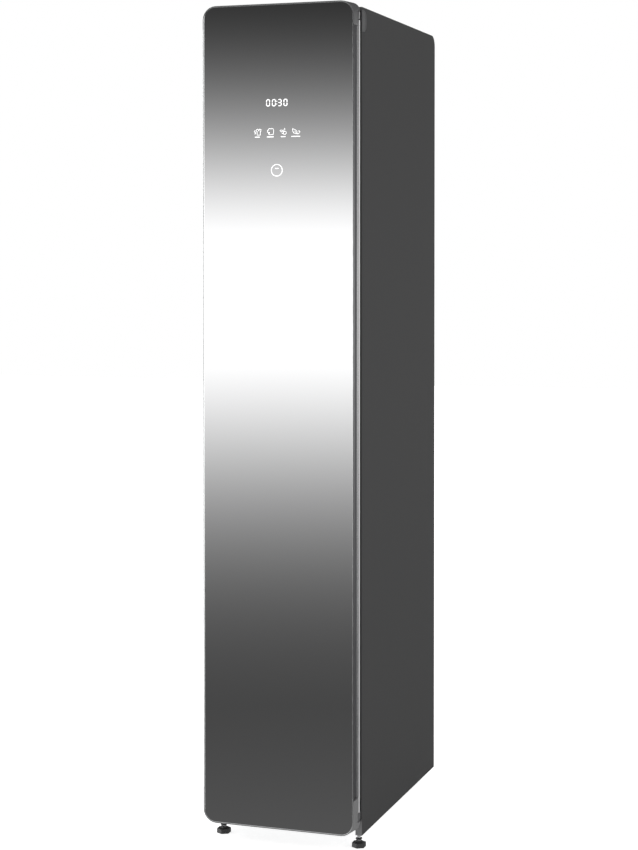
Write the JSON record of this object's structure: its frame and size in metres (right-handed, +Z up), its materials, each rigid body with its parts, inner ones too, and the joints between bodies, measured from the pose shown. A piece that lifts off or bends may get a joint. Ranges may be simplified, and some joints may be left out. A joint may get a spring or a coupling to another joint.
{
  "type": "clothes care steam cabinet",
  "caption": "Slim upright clothes care steam cabinet: mirrored glass door on a right-hand hinge, garment chamber with rail, lift-out water tanks and filter, levelling feet.",
  "frame": {"origin": "middle of the footprint, on the floor under the levelling feet", "axes": "+Z up, the glass door faces -Y, +X is to the right of someone who faces the door"},
  "size_m": [0.35, 0.648, 1.85],
  "materials": {
    "casing": "satin dark grey powder coat",
    "bare_steel": "galvanised",
    "mirror_glass": "dark mirror with a polished edge",
    "door_rail": "dark anodised",
    "cap_plastic": "satin grey",
    "bright_trim": "bright anodised",
    "liner": "satin pale grey",
    "gasket": "matt",
    "black_plastic": "moulded",
    "tank": "clear blue tint",
    "lamp": "opal",
    "circuit_board": "solder resist",
    "filter_mesh": "fine woven mesh",
    "blower_plastic": "moulded"
  },
  "bodies": {
    "cabinet": {"side_panel_left": "casing", "side_panel_right": "casing", "top_panel": "casing", "back_panel": "bare_steel", "base_pan": "bare_steel", "machine_cover": "casing", "hinge_cover": "cap_plastic", "front_frame": "liner", "chamber_wall_left": "liner", "chamber_wall_right": "liner", "chamber_ceiling": "liner", "chamber_floor": "liner", "rear_duct_panel": "liner", "chamber_light_lens": "lamp", "hanging_rail": "bright_trim", "rail_cradle_left": "cap_plastic", "rail_cradle_right": "cap_plastic", "upper_hinge_arm": "bright_trim", "lower_hinge_arm": "bright_trim", "tank_well": "cap_plastic", "filter_housing": "black_plastic", "steam_nozzle": "cap_plastic", "steam_pipe": "black_plastic", "steam_generator": "bare_steel", "water_pump": "black_plastic", "water_hose": "tank", "blower_housing": "black_plastic", "blower_motor": "bare_steel", "air_heater": "bare_steel", "control_board": "circuit_board", "power_inlet": "black_plastic"},
    "door": {"door_glass": "mirror_glass", "door_rail_left": "door_rail", "door_rail_right": "door_rail", "door_top_cap": "cap_plastic", "door_bottom_cap": "cap_plastic", "door_trim_left": "bright_trim", "door_trim_right": "bright_trim", "door_liner": "liner", "door_gasket": "gasket", "door_lower_pad": "black_plastic", "touch_board": "circuit_board"},
    "supply_tank_body": {"supply_tank": "tank", "supply_tank_lid": "cap_plastic"},
    "supply_handle_body": {"supply_tank_handle": "black_plastic"},
    "drain_tank_body": {"drain_tank": "tank", "drain_tank_lid": "cap_plastic"},
    "drain_handle_body": {"drain_tank_handle": "black_plastic"},
    "lint_filter": {"lint_filter_frame": "cap_plastic", "lint_filter_mesh": "filter_mesh"},
    "blower_rotor": {"blower_wheel": "blower_plastic"},
    "foot_front_left": {"levelling_foot_front_left": "black_plastic"},
    "foot_front_right": {"levelling_foot_front_right": "black_plastic"},
    "foot_rear_left": {"levelling_foot_rear_left": "black_plastic"},
    "foot_rear_right": {"levelling_foot_rear_right": "black_plastic"}
  },
  "joints": [
    {"name": "door_hinge", "type": "hinge", "parent": "cabinet", "child": "door", "pos_m": [0.1695, -0.2845, 0.9495], "axis": [0, 0, 1], "range_deg": [0, 110]},
    {"name": "supply_tank_lift", "type": "slide", "parent": "cabinet", "child": "supply_tank_body", "axis": [0, 0, 1], "range_m": [0, 0.22]},
    {"name": "supply_handle_fold", "type": "hinge", "parent": "supply_tank_body", "child": "supply_handle_body", "pos_m": [0.07193, -0.1837, 0.3095], "axis": [1, 0, 0], "range_deg": [0, 90]},
    {"name": "drain_tank_lift", "type": "slide", "parent": "cabinet", "child": "drain_tank_body", "axis": [0, 0, 1], "range_m": [0, 0.22]},
    {"name": "drain_handle_fold", "type": "hinge", "parent": "drain_tank_body", "child": "drain_handle_body", "pos_m": [-0.07193, -0.1837, 0.3095], "axis": [1, 0, 0], "range_deg": [0, 90]},
    {"name": "lint_filter_lift", "type": "slide", "parent": "cabinet", "child": "lint_filter", "axis": [0, 0, 1], "range_m": [0, 0.13]},
    {"name": "blower_spin", "type": "hinge", "parent": "cabinet", "child": "blower_rotor", "pos_m": [-0.034, 0.202, 0.148], "axis": [1, 0, 0], "continuous": true},
    {"name": "foot_turn_front_left", "type": "hinge", "parent": "cabinet", "child": "foot_front_left", "pos_m": [-0.16, -0.24, 0.03], "axis": [0, 0, 1], "continuous": true},
    {"name": "foot_turn_front_right", "type": "hinge", "parent": "cabinet", "child": "foot_front_right", "pos_m": [0.16, -0.24, 0.03], "axis": [0, 0, 1], "continuous": true},
    {"name": "foot_turn_rear_left", "type": "hinge", "parent": "cabinet", "child": "foot_rear_left", "pos_m": [-0.127, 0.284, 0.03], "axis": [0, 0, 1], "continuous": true},
    {"name": "foot_turn_rear_right", "type": "hinge", "parent": "cabinet", "child": "foot_rear_right", "pos_m": [0.127, 0.284, 0.03], "axis": [0, 0, 1], "continuous": true}
  ]
}
